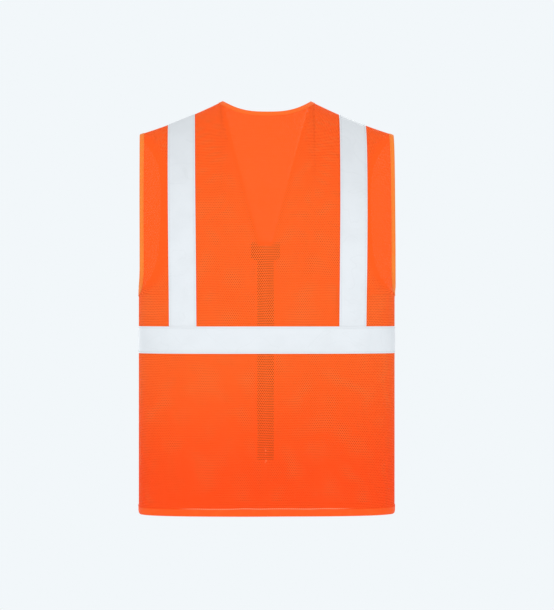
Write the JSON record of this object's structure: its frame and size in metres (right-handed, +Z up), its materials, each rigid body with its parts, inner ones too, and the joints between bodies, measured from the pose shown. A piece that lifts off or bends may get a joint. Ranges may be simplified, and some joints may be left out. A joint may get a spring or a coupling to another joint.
{
  "type": "high-visibility vest",
  "caption": "Sleeveless mesh safety vest with bound edges, reflective tape round the waist and over the shoulders, and a separating front zip.",
  "frame": {"origin": "where the vest rests on its wearer: midway between the neck points of the two shoulder seams", "axes": "+Z up, +Y out of the front, so +X is the wearer's right and the back faces -Y"},
  "size_m": [0.4886, 0.2133, 0.7828],
  "materials": {
    "orange_mesh": "fluorescent orange polyester mesh with small staggered holes",
    "orange_binding": "orange woven binding tape, folded and stitched",
    "reflective_tape": "silver retroreflective glass-bead tape, satin grey in plain light",
    "zip_tape": "dark woven zip tape",
    "zip_teeth": "dark moulded plastic",
    "slider_paint": "dark enamel on die-cast metal",
    "white_label": "white satin label, blank"
  },
  "bodies": {
    "vest_shell": {"back_panel": "orange_mesh", "left_front_side_panel": "orange_mesh", "right_front_side_panel": "orange_mesh", "neck_binding": "orange_binding", "back_hem_binding": "orange_binding", "left_armhole_binding": "orange_binding", "left_front_side_hem_binding": "orange_binding", "right_armhole_binding": "orange_binding", "right_front_side_hem_binding": "orange_binding", "back_waist_tape": "reflective_tape", "left_front_side_waist_tape": "reflective_tape", "left_back_shoulder_tape": "reflective_tape", "left_front_shoulder_tape": "reflective_tape", "right_front_side_waist_tape": "reflective_tape", "right_back_shoulder_tape": "reflective_tape", "right_front_shoulder_tape": "reflective_tape", "care_label": "white_label"},
    "left_front": {"left_front_centre_panel": "orange_mesh", "left_front_edge_binding": "orange_binding", "left_front_centre_hem_binding": "orange_binding", "left_front_centre_waist_tape": "reflective_tape", "left_zip_tape": "zip_tape", "left_zip_teeth": "zip_teeth", "left_top_stop": "zip_teeth", "zip_retainer_box": "zip_teeth"},
    "right_front": {"right_front_centre_panel": "orange_mesh", "right_front_edge_binding": "orange_binding", "right_front_centre_hem_binding": "orange_binding", "right_front_centre_waist_tape": "reflective_tape", "right_zip_tape": "zip_tape", "right_zip_teeth": "zip_teeth", "right_top_stop": "zip_teeth", "zip_insertion_pin": "zip_teeth"},
    "slider": {"zip_slider": "slider_paint"},
    "pull_tab": {"zip_pull_tab": "slider_paint"}
  },
  "joints": [
    {"name": "left_front_open", "type": "hinge", "parent": "vest_shell", "child": "left_front", "pos_m": [-0.14066, 0.09203, -0.78208], "axis": [0.1512, 0.0271, 0.9881], "range_deg": [0, 140]},
    {"name": "right_front_open", "type": "hinge", "parent": "vest_shell", "child": "right_front", "pos_m": [0.14066, 0.09203, -0.78208], "axis": [0.1512, -0.0271, -0.9881], "range_deg": [0, 140]},
    {"name": "zip_slide", "type": "slide", "parent": "left_front", "child": "slider", "axis": [0, -0.0195, -0.9998], "range_m": [0, 0.395]},
    {"name": "pull_tab_swing", "type": "hinge", "parent": "slider", "child": "pull_tab", "pos_m": [0, 0.10562, -0.27913], "axis": [1, 0, 0], "range_deg": [0, 170]}
  ]
}
